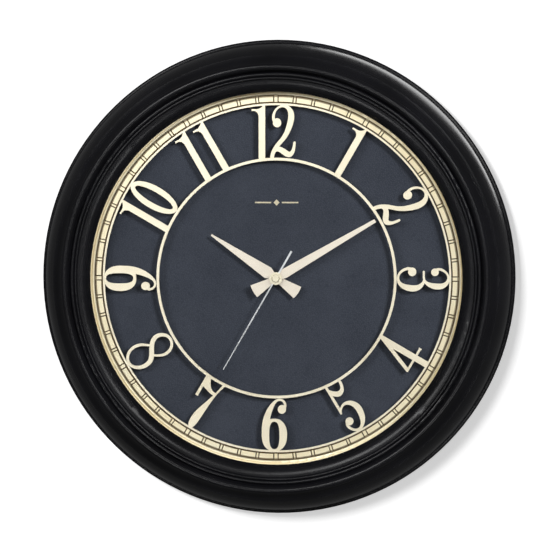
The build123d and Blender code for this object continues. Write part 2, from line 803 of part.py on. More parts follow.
with BuildPart() as movement_screws:
    for spot in posts:
        ring(1.6, 0, case_back - 0.8, case_back, spot)
        ring(case_screw_r - 0.05, 0, case_back, cover_plate_front + 5, spot)
        x, z = spot
        block(x - 1.1, x + 1.1, z - 0.2, z + 0.2, case_back - 0.8, case_back - 0.4, Mode.SUBTRACT)
        block(x - 0.2, x + 0.2, z - 1.1, z + 1.1, case_back - 0.8, case_back - 0.4, Mode.SUBTRACT)
movement_screws.part.label = "movement_screws"
export_step(movement_screws.part, "parts/movement_screws.step")

# --- wheel train ---------------------------------------------------------------------------
pivot_back = cover_plate_front - pivot_len + 0.1
pivot_front = case_floor + pivot_len - 0.1
shank_back = cover_plate_front + 0.15
shank_front = case_floor - 0.15
shank_r = 0.55


def arbor(at):
    """A wheel's axle with a thinner pivot at each end."""
    ring(pivot_r, 0, pivot_back, pivot_front, at)
    ring(shank_r, 0, shank_back, shank_front, at)


with BuildPart() as centre_wheel:
    gear(64, module_fine, centre_phase, third_layer + inset, third_layer + inset + wheel_t, centre_at)
    spokes(centre_at, 3.2, 7.2, third_layer, third_layer + pinion_t)
    ring(minute_tube_r, 0, third_layer, minute_tube_front)
    gear(15, module_fine, 0, cannon_layer, cannon_layer + 1.4, centre_at)
    ring(minute_bore_r, 0, third_layer, minute_tube_front, mode=Mode.SUBTRACT)
centre_wheel.part.label = "centre_wheel"
export_step(centre_wheel.part, "parts/centre_wheel.step")

clutch_back = third_layer + inset + wheel_t
with BuildPart() as clutch_spring:
    ring(2.6, minute_tube_r, clutch_back, clutch_back + 0.3)
    for k in range(3):
        with BuildSketch(Plane.XZ.offset(clutch_back)):
            with Locations(Location((0, 0, 0), (0, 0, 120 * k))):
                with Locations((3.6, 0)):
                    SlotOverall(3.6, 1.2)
        extrude(amount=0.3)
clutch_spring.part.label = "clutch_spring"
export_step(clutch_spring.part, "parts/clutch_spring.step")

with BuildPart() as hour_wheel:
    gear(48, module_fine, hour_phase, works_layer + inset, works_layer + inset + wheel_t, centre_at)
    ring(hour_tube_r, 0, works_layer + inset, hour_tube_front)
    ring(hour_bore_r, 0, works_layer + inset, hour_tube_front, mode=Mode.SUBTRACT)
hour_wheel.part.label = "hour_wheel"
export_step(hour_wheel.part, "parts/hour_wheel.step")

with BuildPart() as works_wheel:
    gear(45, module_fine, works_phase, cannon_layer + inset, cannon_layer + inset + wheel_t + 0.2, works_at)
    gear(12, module_fine, 0, cannon_layer + inset + wheel_t, works_layer + pinion_t, works_at)
    ring(stud_r + bush_fit, 0, cannon_layer, works_layer + pinion_t + 1, works_at, Mode.SUBTRACT)
works_wheel.part.label = "works_wheel"
export_step(works_wheel.part, "parts/works_wheel.step")

knob_r = 6.0
with BuildPart() as setting_knob:
    ring(knob_r, 0, case_back - 3.0, case_back - 0.4, knob_at)
    for k in range(24):
        x, z = polar(knob_r, 15 * k)
        ring(0.45, 0, case_back - 3.0, case_back - 0.4, (knob_at[0] + x, knob_at[1] + z), Mode.SUBTRACT)
    ring(knob_stem_r, 0, case_back - 0.4, pivot_front, knob_at)
    gear(15, module_fine, knob_phase, cannon_layer, cannon_layer + 1.4, knob_at)
setting_knob.part.label = "setting_knob"
export_step(setting_knob.part, "parts/setting_knob.step")

with BuildPart() as seconds_wheel:
    wheel_back = intermediate_layer + inset
    gear(60, module_fine, seconds_phase, wheel_back, wheel_back + wheel_t, centre_at)
    spokes(centre_at, 2.4, 6.8, wheel_back, wheel_back + wheel_t)
    gear(8, module_third, 0, seconds_layer, seconds_layer + pinion_t, centre_at)
    ring(pivot_r, 0, pivot_back, shank_back, centre_at)
    ring(arbor_r, 0, shank_back, arbor_front, centre_at)
seconds_wheel.part.label = "seconds_wheel"
export_step(seconds_wheel.part, "parts/seconds_wheel.step")

with BuildPart() as third_wheel:
    wheel_back = seconds_layer + inset
    gear(60, module_third, third_phase, wheel_back, wheel_back + wheel_t, third_at)
    spokes(third_at, 2.4, 7.0, wheel_back, wheel_back + wheel_t)
    gear(8, module_fine, 0, third_layer, third_layer + pinion_t, third_at)
    arbor(third_at)
third_wheel.part.label = "third_wheel"
export_step(third_wheel.part, "parts/third_wheel.step")

with BuildPart() as intermediate_wheel:
    wheel_back = rotor_layer + inset
    gear(60, module_fine, intermediate_phase, wheel_back, wheel_back + wheel_t, intermediate_at)
    spokes(intermediate_at, 2.4, 6.8, wheel_back, wheel_back + wheel_t)
    gear(12, module_fine, 0, intermediate_layer, intermediate_layer + pinion_t, intermediate_at)
    arbor(intermediate_at)
intermediate_wheel.part.label = "intermediate_wheel"
export_step(intermediate_wheel.part, "parts/intermediate_wheel.step")

magnet_r = 2.8
magnet_back = stator_back - 0.5
magnet_front = stator_back + 1.5
with BuildPart() as rotor_pinion:
    gear(10, module_fine, 0, rotor_layer, rotor_layer + pinion_t, rotor_at)
    arbor(rotor_at)
rotor_pinion.part.label = "rotor_pinion"
export_step(rotor_pinion.part, "parts/rotor_pinion.step")

with BuildPart() as rotor_magnet:
    ring(magnet_r, shank_r, magnet_back, magnet_front, rotor_at)
rotor_magnet.part.label = "rotor_magnet"
export_step(rotor_magnet.part, "parts/rotor_magnet.step")

# --- motor ---------------------------------------------------------------------------------
coil_z = 23.5
coil_r = 2.8
flange_r = 2.9
bobbin_r = 1.9
core_half_z = 1.5
coil_left = -12.0
coil_right = 14.0
flange_t = 1.0
stator_hole_r = magnet_r + 0.6
core_depth = (core_back + core_front) / 2
with BuildPart() as stator:
    block(-tab_outer, tab_outer, 12.6, 20.3, stator_back, core_back)
    for side in (-1, 1):
        left, right = sorted((side * tab_inner, side * tab_outer))
        block(left, right, 12.6, coil_z + core_half_z, stator_back, core_back)
    ring(stator_hole_r, 0, stator_back, core_back, rotor_at, Mode.SUBTRACT)
stator.part.label = "stator"
export_step(stator.part, "parts/stator.step")

with BuildPart() as coil_core:
    block(-tab_outer, tab_outer, coil_z - core_half_z, coil_z + core_half_z, core_back, core_front)
coil_core.part.label = "coil_core"
export_step(coil_core.part, "parts/coil_core.step")

with BuildPart() as coil_bobbin:
    rod(bobbin_r, 0, coil_left, coil_right, core_depth, coil_z)
    rod(flange_r, 0, coil_left, coil_left + flange_t, core_depth, coil_z)
    rod(flange_r, 0, coil_right - flange_t, coil_right, core_depth, coil_z)
    block(coil_left, coil_right, coil_z - core_half_z, coil_z + core_half_z, core_back, core_front, Mode.SUBTRACT)
coil_bobbin.part.label = "coil_bobbin"
export_step(coil_bobbin.part, "parts/coil_bobbin.step")

with BuildPart() as coil_winding:
    rod(coil_r, bobbin_r, coil_left + flange_t, coil_right - flange_t, core_depth, coil_z)
coil_winding.part.label = "coil_winding"
export_step(coil_winding.part, "parts/coil_winding.step")

# --- electronics ---------------------------------------------------------------------------
with BuildPart() as circuit_board:
    block(board_left, board_right, board_low, board_high, board_back, board_front)
circuit_board.part.label = "circuit_board"
export_step(circuit_board.part, "parts/circuit_board.step")

with BuildPart() as driver_chip:
    ring(2.6, 0, board_back - 1.0, board_back, (20.7, 6.0))
    fillet(driver_chip.faces().sort_by(Axis.Y)[-1].edges(), 0.6)
driver_chip.part.label = "driver_chip"
export_step(driver_chip.part, "parts/driver_chip.step")

with BuildPart() as quartz_crystal:
    rod(1.0, 0, 17.5, 23.9, board_back - 1.0, -1.5)
quartz_crystal.part.label = "quartz_crystal"
export_step(quartz_crystal.part, "parts/quartz_crystal.step")

# --- battery and contacts ------------------------------------------------------------------
battery_left = -battery_len / 2
battery_right = battery_len / 2
with BuildPart() as battery:
    rod(battery_r, 0, battery_left, battery_right, battery_depth, battery_z)
    fillet(battery.edges(), 0.6)
battery.part.label = "battery"
export_step(battery.part, "parts/battery.step")

base_t = 0.2
with BuildPart() as battery_terminals:
    rod(nub_r, 0, battery_right, battery_right + nub_len, battery_depth, battery_z)
    rod(battery_r - 1.6, 0, battery_left - base_t, battery_left, battery_depth, battery_z)
battery_terminals.part.label = "battery_terminals"
export_step(battery_terminals.part, "parts/battery_terminals.step")

contact_t = 0.3
with BuildPart() as battery_contact:
    block(inner_half - contact_t, inner_half, -25.0, -13.0, 6.5, 16.0)
battery_contact.part.label = "battery_contact"
export_step(battery_contact.part, "parts/battery_contact.step")

spring_r = 3.0
spring_wire_r = 0.22
spring_height = 0.9
with BuildPart() as battery_spring:
    block(-inner_half, contact_t - inner_half, -25.0, -13.0, 6.5, 16.0)
    with BuildLine() as coil_line:
        Helix(
            pitch=0.55,
            height=spring_height,
            radius=spring_r,
            center=(contact_t - inner_half + 0.6 * spring_wire_r, -battery_depth, battery_z),
            direction=(1, 0, 0),
        )
    with BuildSketch(Plane(origin=coil_line.line @ 0, z_dir=coil_line.line % 0)):
        Circle(spring_wire_r)
    sweep(path=coil_line.line)
battery_spring.part.label = "battery_spring"
export_step(battery_spring.part, "parts/battery_spring.step")

# --- rear cover ----------------------------------------------------------------------------
with BuildPart() as rear_cover:
    ring(back_cover_r, 0, cover_back, cover_front)
    ring(rib_r, rib_r - rib_t, cover_front, dial_back)
    ring(0.45 * outer_r + rib_t, 0.45 * outer_r, cover_front, dial_back)
    for k in range(cover_screw_count):
        hole_at = polar(cover_screw_ring_r, 22.5 + k * 360 / cover_screw_count)
        ring(screw_hole_r, 0, cover_back, cover_front, hole_at, Mode.SUBTRACT)
    block(-opening_half, opening_half, -opening_half, opening_half, cover_back, cover_front, Mode.SUBTRACT)
    for k in range(6):
        vent_z = -0.5 * outer_r - 6 * k
        with BuildSketch(Plane.XZ.offset(cover_back)):
            with Locations((0, vent_z)):
                SlotOverall(44, 2.5)
        extrude(amount=cover_t, mode=Mode.SUBTRACT)
rear_cover.part.label = "rear_cover"
export_step(rear_cover.part, "parts/rear_cover.step")

with BuildPart() as case_screws:
    for k in range(cover_screw_count):
        x, z = polar(cover_screw_ring_r, 22.5 + k * 360 / cover_screw_count)
        ring(screw_head_r, 0, cover_back - screw_head_t, cover_back, (x, z))
        ring(screw_r, 0, cover_back, cover_front + cover_screw_bite, (x, z))
        for wide, high in ((1.8, 0.35), (0.35, 1.8)):
            block(x - wide, x + wide, z - high, z + high, cover_back - screw_head_t, cover_back - 0.6, Mode.SUBTRACT)
case_screws.part.label = "case_screws"
export_step(case_screws.part, "parts/case_screws.step")

# --- hanger --------------------------------------------------------------------------------
hanger_low = hanger_z - hanger_high
hanger_top = hanger_z + hanger_high
hanger_screw_x = (hanger_half + hanger_bridge_half) / 2
with BuildPart() as hanger_plate:
    block(-hanger_bridge_half, hanger_bridge_half, hanger_low, hanger_top, hanger_back, hanger_back + hanger_t)
    for side in (-1, 1):
        left, right = sorted((side * hanger_bridge_half, side * (hanger_bridge_half - hanger_t)))
        block(left, right, hanger_low, hanger_top, hanger_back, cover_back)
        left, right = sorted((side * hanger_half, side * (hanger_bridge_half - hanger_t)))
        block(left, right, hanger_low, hanger_top, cover_back - hanger_t, cover_back)
        for level in (-1, 1):
            spot = (side * hanger_screw_x, hanger_z + level * 0.65 * hanger_high)
            ring(screw_hole_r, 0, cover_back - hanger_t, cover_back, spot, Mode.SUBTRACT)
    ring(keyhole_r, 0, hanger_back, hanger_back + hanger_t, (0, hanger_z - slot_rise / 2), Mode.SUBTRACT)
    with BuildSketch(Plane.XZ.offset(hanger_back)):
        with Locations((0, hanger_z)):
            SlotCenterToCenter(slot_rise, 2 * slot_r, rotation=90)
    extrude(amount=hanger_t, mode=Mode.SUBTRACT)
hanger_plate.part.label = "hanger_plate"
export_step(hanger_plate.part, "parts/hanger_plate.step")

with BuildPart() as hanger_screws:
    for side in (-1, 1):
        for level in (-1, 1):
            x, z = side * hanger_screw_x, hanger_z + level * 0.65 * hanger_high
            head_front = cover_back - hanger_t
            ring(2.4, 0, head_front - 1.2, head_front, (x, z))
            ring(screw_r, 0, head_front, cover_back, (x, z))
            for wide, high in ((1.5, 0.3), (0.3, 1.5)):
                block(x - wide, x + wide, z - high, z + high, head_front - 1.2, head_front - 0.5, Mode.SUBTRACT)
hanger_screws.part.label = "hanger_screws"
export_step(hanger_screws.part, "parts/hanger_screws.step")
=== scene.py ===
import json
import math

import bpy
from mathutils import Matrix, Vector

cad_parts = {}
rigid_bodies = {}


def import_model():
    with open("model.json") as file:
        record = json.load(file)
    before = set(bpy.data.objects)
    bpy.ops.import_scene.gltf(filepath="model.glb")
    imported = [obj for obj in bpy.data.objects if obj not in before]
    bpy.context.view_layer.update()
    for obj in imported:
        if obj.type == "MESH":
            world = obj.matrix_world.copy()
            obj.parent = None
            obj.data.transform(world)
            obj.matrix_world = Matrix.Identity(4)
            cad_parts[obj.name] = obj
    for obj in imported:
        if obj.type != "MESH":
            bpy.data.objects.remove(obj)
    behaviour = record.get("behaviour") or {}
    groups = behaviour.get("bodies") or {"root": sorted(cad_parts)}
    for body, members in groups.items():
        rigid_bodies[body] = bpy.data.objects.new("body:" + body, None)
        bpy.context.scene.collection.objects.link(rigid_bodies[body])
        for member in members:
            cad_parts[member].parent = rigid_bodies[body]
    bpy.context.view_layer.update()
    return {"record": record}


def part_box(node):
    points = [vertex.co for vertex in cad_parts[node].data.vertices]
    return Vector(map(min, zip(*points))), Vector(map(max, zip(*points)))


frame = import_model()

scene = bpy.context.scene

# --- camera ---------------------------------------------------------------------------------
# A long lens a little to the right of and above the dial's axis. The widest circle of the frame
# fills a set share of the picture's width.
rim_low, rim_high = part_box("frame")
outer_d = rim_high.x - rim_low.x
widest = Vector((0, -0.0125, 0))
camera_distance = 2.0
camera_azimuth = math.radians(4.6)
camera_elevation = math.radians(2.8)
filled = 0.854
back = Vector(
    (
        math.sin(camera_azimuth) * math.cos(camera_elevation),
        -math.cos(camera_azimuth) * math.cos(camera_elevation),
        math.sin(camera_elevation),
    )
)
camera_data = bpy.data.cameras.new("camera")
camera_data.sensor_width = 36.0
camera_data.lens = camera_data.sensor_width * camera_distance * filled / outer_d
camera = bpy.data.objects.new("camera", camera_data)
camera.location = widest + back * camera_distance
camera.rotation_mode = "QUATERNION"
camera.rotation_quaternion = (-back).to_track_quat("-Z", "Y")
scene.collection.objects.link(camera)
scene.camera = camera
scene.view_settings.view_transform = "Standard"


# --- shader helpers -------------------------------------------------------------------------
def new_material(name, colour, rough, metal=0.0, **settings):
    """A Principled material with constants on its own sockets."""
    made = bpy.data.materials.new(name)
    made.use_nodes = True
    body = made.node_tree.nodes["Principled BSDF"]
    body.inputs["Base Color"].default_value = (*colour, 1)
    body.inputs["Roughness"].default_value = rough
    body.inputs["Metallic"].default_value = metal
    for socket, value in settings.items():
        body.inputs[socket.replace("_", " ")].default_value = value
    return made, made.node_tree, body


def coords(tree, stretch=(1, 1, 1), turn=0.0):
    """The piece's own coordinates in metres, turned about Y and then stretched."""
    place = tree.nodes.new("ShaderNodeTexCoord").outputs["Object"]
    turned = tree.nodes.new("ShaderNodeMapping")
    turned.inputs["Rotation"].default_value = (0, turn, 0)
    tree.links.new(place, turned.inputs["Vector"])
    scaled = tree.nodes.new("ShaderNodeMapping")
    scaled.inputs["Scale"].default_value = stretch
    tree.links.new(turned.outputs["Vector"], scaled.inputs["Vector"])
    return scaled.outputs["Vector"]


def around(tree, stretch):
    """Coordinates that follow a turned piece: distance from the hand axis, turn and depth."""
    place = tree.nodes.new("ShaderNodeTexCoord").outputs["Object"]
    parts = tree.nodes.new("ShaderNodeSeparateXYZ")
    tree.links.new(place, parts.inputs[0])
    flat = tree.nodes.new("ShaderNodeCombineXYZ")
    tree.links.new(parts.outputs["X"], flat.inputs["X"])
    tree.links.new(parts.outputs["Z"], flat.inputs["Y"])
    length = tree.nodes.new("ShaderNodeVectorMath")
    length.operation = "LENGTH"
    tree.links.new(flat.outputs[0], length.inputs[0])
    turn = tree.nodes.new("ShaderNodeMath")
    turn.operation = "ARCTAN2"
    tree.links.new(parts.outputs["Z"], turn.inputs[0])
    tree.links.new(parts.outputs["X"], turn.inputs[1])
    joined = tree.nodes.new("ShaderNodeCombineXYZ")
    tree.links.new(length.outputs["Value"], joined.inputs["X"])
    tree.links.new(turn.outputs[0], joined.inputs["Y"])
    tree.links.new(parts.outputs["Y"], joined.inputs["Z"])
    scaled = tree.nodes.new("ShaderNodeMapping")
    scaled.inputs["Scale"].default_value = stretch
    tree.links.new(joined.outputs[0], scaled.inputs["Vector"])
    return scaled.outputs["Vector"]


def noise(tree, where, scale, detail=3.0, rough=0.55):
    made = tree.nodes.new("ShaderNodeTexNoise")
    made.inputs["Scale"].default_value = scale
    made.inputs["Detail"].default_value = detail
    made.inputs["Roughness"].default_value = rough
    tree.links.new(where, made.inputs["Vector"])
    return made.outputs["Fac"]


def cells(tree, where, scale, feature):
    made = tree.nodes.new("ShaderNodeTexVoronoi")
    made.feature = feature
    made.inputs["Scale"].default_value = scale
    tree.links.new(where, made.inputs["Vector"])
    return made.outputs["Distance"]


def spread(tree, source, low, high, start=0.3, end=0.7):
    """The source's range from start to end, mapped to low and high."""
    made = tree.nodes.new("ShaderNodeMapRange")
    tree.links.new(source, made.inputs["Value"])
    made.inputs["From Min"].default_value = start
    made.inputs["From Max"].default_value = end
    made.inputs["To Min"].default_value = low
    made.inputs["To Max"].default_value = high
    return made.outputs["Result"]


def blend_colours(tree, share, first, second):
    made = tree.nodes.new("ShaderNodeMix")
    made.data_type = "RGBA"
    made.inputs["A"].default_value = (*first, 1)
    made.inputs["B"].default_value = (*second, 1)
    tree.links.new(share, made.inputs["Factor"])
    return made.outputs["Result"]


def arithmetic(tree, operation, first, second):
    made = tree.nodes.new("ShaderNodeMath")
    made.operation = operation
    for place, value in enumerate((first, second)):
        if isinstance(value, (int, float)):
            made.inputs[place].default_value = value
        else:
            tree.links.new(value, made.inputs[place])
    return made.outputs[0]


def raise_surface(tree, body, height, strength, distance):
    made = tree.nodes.new("ShaderNodeBump")
    made.inputs["Strength"].default_value = strength
    made.inputs["Distance"].default_value = distance
    tree.links.new(height, made.inputs["Height"])
    tree.links.new(made.outputs["Normal"], body.inputs["Normal"])


def mottle(tree, body, share, colour, tone):
    """Lets the base colour wander from a little darker to a little lighter than its own."""
    darker = [c * (1 - tone) for c in colour]
    lighter = [min(1.0, c * (1 + tone)) for c in colour]
    tint = blend_colours(tree, spread(tree, share, 0, 1), darker, lighter)
    tree.links.new(tint, body.inputs["Base Color"])


def vary_gloss(tree, body, share, rough, wander):
    """Lets the roughness wander either side of its own value."""
    tree.links.new(spread(tree, share, rough - wander, rough + wander), body.inputs["Roughness"])


fine_marks = 0.00002  # height in metres of brushing and lathe marks


def plain(name, colour, rough, metal=0.0, grain=900.0, depth=0.00004, tone=0.12, **settings):
    """A moulded, plated or painted finish: uneven tone, uneven gloss and a fine raised grain."""
    made, tree, body = new_material(name, colour, rough, metal, **settings)
    where = coords(tree)
    broad = noise(tree, where, 38.0)
    fine = noise(tree, where, grain, 2.0)
    mottle(tree, body, broad, colour, tone)
    vary_gloss(tree, body, broad, rough, 0.06)
    raise_surface(tree, body, fine, 0.5, depth)
    return made


def brushed(name, colour, rough, stretch, turn=0.0, metal=1.0, tone=0.07):
    """A metal brushed along one line of its own."""
    made, tree, body = new_material(name, colour, rough, metal, Anisotropic=0.5)
    where = coords(tree, stretch, turn)
    lines = noise(tree, where, 1.0, 4.0, 0.6)
    broad = noise(tree, coords(tree), 60.0)
    mottle(tree, body, lines, colour, tone)
    streaks = arithmetic(tree, "MULTIPLY", lines, 0.6)
    both = arithmetic(tree, "ADD", streaks, arithmetic(tree, "MULTIPLY", broad, 0.4))
    vary_gloss(tree, body, both, rough, 0.07)
    raise_surface(tree, body, lines, 0.4, fine_marks)
    return made


def turned_metal(name, colour, rough, metal=1.0):
    """A metal with the fine circular marks of a lathe about the hand axis."""
    made, tree, body = new_material(name, colour, rough, metal, Anisotropic=0.3)
    lines = noise(tree, around(tree, (9000, 3, 9000)), 1.0, 3.0)
    darker = [c * 0.9 for c in colour]
    tint = blend_colours(tree, spread(tree, lines, 0, 1), darker, colour)
    tree.links.new(tint, body.inputs["Base Color"])
    vary_gloss(tree, body, lines, rough, 0.05)
    raise_surface(tree, body, lines, 0.3, fine_marks)
    return made


# --- finishes -------------------------------------------------------------------------------
def black_lacquer():
    """Satin black lacquer: faint orange peel, patches of handling haze and hairline rubbing."""
    made, tree, body = new_material("black_lacquer", (0.0032, 0.0032, 0.0040), 0.28)
    body.inputs["Specular IOR Level"].default_value = 0.28
    where = coords(tree)
    haze = noise(tree, where, 14.0, 4.0)
    peel = noise(tree, where, 420.0, 2.0)
    rubbed = noise(tree, around(tree, (2600, 6, 2600)), 1.0, 3.0)
    patches = spread(tree, haze, 0, 1)
    tint = blend_colours(tree, patches, (0.0022, 0.0022, 0.0027), (0.0044, 0.0044, 0.0056))
    tree.links.new(tint, body.inputs["Base Color"])
    hazy = spread(tree, haze, 0.22, 0.29)
    gloss = arithmetic(tree, "ADD", hazy, spread(tree, rubbed, -0.02, 0.03))
    tree.links.new(gloss, body.inputs["Roughness"])
    raise_surface(tree, body, peel, 0.25, 0.00006)
    return made


def clear_glass():
    """A clear pane: lets light straight through and mirrors a little more at a slant."""
    made = bpy.data.materials.new("clear_glass")
    made.use_nodes = True
    tree = made.node_tree
    tree.nodes.clear()
    shown = tree.nodes.new("ShaderNodeOutputMaterial")
    through = tree.nodes.new("ShaderNodeBsdfTransparent")
    through.inputs["Color"].default_value = (0.985, 0.992, 0.988, 1)
    mirror = tree.nodes.new("ShaderNodeBsdfGlossy")
    mirror.inputs["Roughness"].default_value = 0.02
    smears = noise(tree, coords(tree, (1, 1, 2.5)), 9.0, 5.0)
    tree.links.new(spread(tree, smears, 0.01, 0.05, 0.45, 0.75), mirror.inputs["Roughness"])
    slant = tree.nodes.new("ShaderNodeLayerWeight")
    slant.inputs["Blend"].default_value = 0.5
    steep = arithmetic(tree, "POWER", slant.outputs["Facing"], 5.0)
    share = arithmetic(tree, "ADD", arithmetic(tree, "MULTIPLY", steep, 0.6), 0.02)
    mixed = tree.nodes.new("ShaderNodeMixShader")
    tree.links.new(share, mixed.inputs[0])
    tree.links.new(through.outputs[0], mixed.inputs[1])
    tree.links.new(mirror.outputs[0], mixed.inputs[2])
    tree.links.new(mixed.outputs[0], shown.inputs["Surface"])
    return made


def pale_gold(name, low, high, groove, crest, recess_r=None, bead_r=None):
    """Satin plating with a fine frosted grain, with painted shade: darker from the crest's depth to the
    groove's.

    Between recess_r and bead_r it carries a painted shadow too. Outside bead_r it is a brighter, softer
    bead that the painted shadow leaves out.
    """
    metal = 0.88
    made, tree, body = new_material(name, high, 0.42, metal)
    where = coords(tree)
    broad = noise(tree, where, 22.0, 3.0)
    grain = noise(tree, where, 1500.0, 2.0)
    tint = blend_colours(tree, spread(tree, broad, 0, 1), low, high)
    parts = tree.nodes.new("ShaderNodeSeparateXYZ")
    tree.links.new(around(tree, (1, 1, 1)), parts.inputs[0])
    # Painted shade: the colour darkens from the crest's depth back to the groove's, where shade falls on
    # sides and hollows.
    share = spread(tree, parts.outputs["Z"], 1, 0, crest, groove)
    if recess_r is not None:
        # Painted shadow: a dark band between recess_r and bead_r, where the raised rim shades the pads'
        # outer ends. The bead outside bead_r is kept out of the painted shade and made less metallic.
        reach = parts.outputs["X"]
        clear = spread(tree, reach, 1, 0.2, recess_r - 0.0002, recess_r + 0.0003)
        bead = spread(tree, reach, 0, 1, bead_r - 0.0002, bead_r + 0.0001)
        share = arithmetic(tree, "MAXIMUM", arithmetic(tree, "MULTIPLY", share, clear), bead)
        softer = arithmetic(tree, "SUBTRACT", metal, arithmetic(tree, "MULTIPLY", bead, 0.5))
        tree.links.new(softer, body.inputs["Metallic"])
    # The dark brown is the colour of the painted shade.
    shaded = blend_colours(tree, share, (0.11, 0.07, 0.03), (1, 1, 1))
    tree.links.new(tint, shaded.node.inputs["B"])
    tree.links.new(shaded, body.inputs["Base Color"])
    gloss = arithmetic(tree, "ADD", spread(tree, broad, 0.35, 0.43), spread(tree, grain, -0.03, 0.03))
    tree.links.new(gloss, body.inputs["Roughness"])
    raise_surface(tree, body, grain, 0.25, 0.00003)
    return made


def leather_dial():
    """Slate board embossed with a fine leather grain: small rounded cells between creases."""
    made, tree, body = new_material("slate_leather", (0.034, 0.037, 0.047), 0.6)
    body.inputs["Specular IOR Level"].default_value = 0.06
    where = coords(tree)
    drift = tree.nodes.new("ShaderNodeTexNoise")
    drift.inputs["Scale"].default_value = 260.0
    tree.links.new(where, drift.inputs["Vector"])
    shifted = tree.nodes.new("ShaderNodeVectorMath")
    shifted.operation = "MULTIPLY_ADD"
    shifted.inputs[1].default_value = (0.0016, 0.0016, 0.0016)
    tree.links.new(drift.outputs["Color"], shifted.inputs[0])
    tree.links.new(where, shifted.inputs[2])
    creases = cells(tree, shifted.outputs[0], 640.0, "DISTANCE_TO_EDGE")
    domes = cells(tree, shifted.outputs[0], 640.0, "F1")
    pores = noise(tree, where, 2400.0, 2.0)
    cloud = noise(tree, where, 26.0, 4.0)
    # Painted light and shade: the tops of the grain cells are painted lighter and the creases darker.
    lit_tops = spread(tree, creases, 0, 0.6, 0.0, 0.2)
    tone = arithmetic(tree, "ADD", lit_tops, spread(tree, cloud, 0, 0.4))
    tint = blend_colours(tree, tone, (0.022, 0.0250, 0.0345), (0.042, 0.0465, 0.0610))
    tree.links.new(tint, body.inputs["Base Color"])
    tree.links.new(spread(tree, creases, 0.85, 0.65, 0.0, 0.25), body.inputs["Roughness"])
    tops = spread(tree, creases, 0, 1, 0.0, 0.18)
    relief = arithmetic(tree, "SUBTRACT", tops, arithmetic(tree, "MULTIPLY", domes, 0.6))
    relief = arithmetic(tree, "ADD", relief, arithmetic(tree, "MULTIPLY", pores, 0.3))
    raise_surface(tree, body, relief, 0.5, 0.00022)
    return made


def wound_copper():
    """Enamelled wire: fine parallel turns across the coil."""
    made, tree, body = new_material("wound_copper", (0.62, 0.24, 0.09), 0.3, 0.9)
    body.inputs["Coat Weight"].default_value = 0.6
    wires = tree.nodes.new("ShaderNodeTexWave")
    wires.wave_type = "BANDS"
    wires.bands_direction = "Z"
    wires.inputs["Scale"].default_value = 900.0
    wires.inputs["Distortion"].default_value = 0.8
    tree.links.new(coords(tree), wires.inputs["Vector"])
    tint = blend_colours(tree, wires.outputs["Fac"], (0.30, 0.09, 0.03), (0.72, 0.31, 0.13))
    tree.links.new(tint, body.inputs["Base Color"])
    raise_surface(tree, body, wires.outputs["Fac"], 0.8, 0.0001)
    return made


def solder_board():
    """Green solder mask over paler copper tracks."""
    made, tree, body = new_material("solder_board", (0.02, 0.13, 0.05), 0.35)
    tracks = tree.nodes.new("ShaderNodeTexBrick")
    tracks.inputs["Scale"].default_value = 260.0
    tracks.inputs["Mortar Size"].default_value = 0.06
    tracks.inputs["Color1"].default_value = (0.016, 0.11, 0.045, 1)
    tracks.inputs["Color2"].default_value = (0.022, 0.13, 0.055, 1)
    tracks.inputs["Mortar"].default_value = (0.06, 0.26, 0.11, 1)
    swap = tree.nodes.new("ShaderNodeMapping")
    swap.inputs["Rotation"].default_value = (math.radians(90), 0, 0)
    tree.links.new(coords(tree), swap.inputs["Vector"])
    tree.links.new(swap.outputs[0], tracks.inputs["Vector"])
    tree.links.new(tracks.outputs["Color"], body.inputs["Base Color"])
    raise_surface(tree, body, tracks.outputs["Fac"], 0.3, 0.00005)
    return made


def cell_sleeve():
    """A shrunk sleeve in two plain colours, split near the raised end."""
    low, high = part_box("battery")
    copper_share = 0.28
    made, tree, body = new_material("cell_sleeve", (0.02, 0.03, 0.06), 0.28, Coat_Weight=0.5)
    place = tree.nodes.new("ShaderNodeTexCoord").outputs["Object"]
    parts = tree.nodes.new("ShaderNodeSeparateXYZ")
    tree.links.new(place, parts.inputs[0])
    split = high.x - copper_share * (high.x - low.x)
    share = spread(tree, parts.outputs["X"], 0, 1, split - 0.0001, split + 0.0001)
    tint = blend_colours(tree, share, (0.012, 0.014, 0.02), (0.62, 0.30, 0.10))
    tree.links.new(tint, body.inputs["Base Color"])
    wrinkle = noise(tree, coords(tree, (1, 6, 6)), 160.0, 3.0)
    tree.links.new(spread(tree, wrinkle, 0.2, 0.34), body.inputs["Roughness"])
    raise_surface(tree, body, wrinkle, 0.25, 0.00004)
    return made


def blade_turn(name):
    """The turn of a hand's brushing, from its point furthest from the axis."""
    corners = (v.co for v in bpy.data.objects[name].data.vertices)
    tip = max(corners, key=lambda c: c.x * c.x + c.z * c.z)
    return math.atan2(tip.z, tip.x)


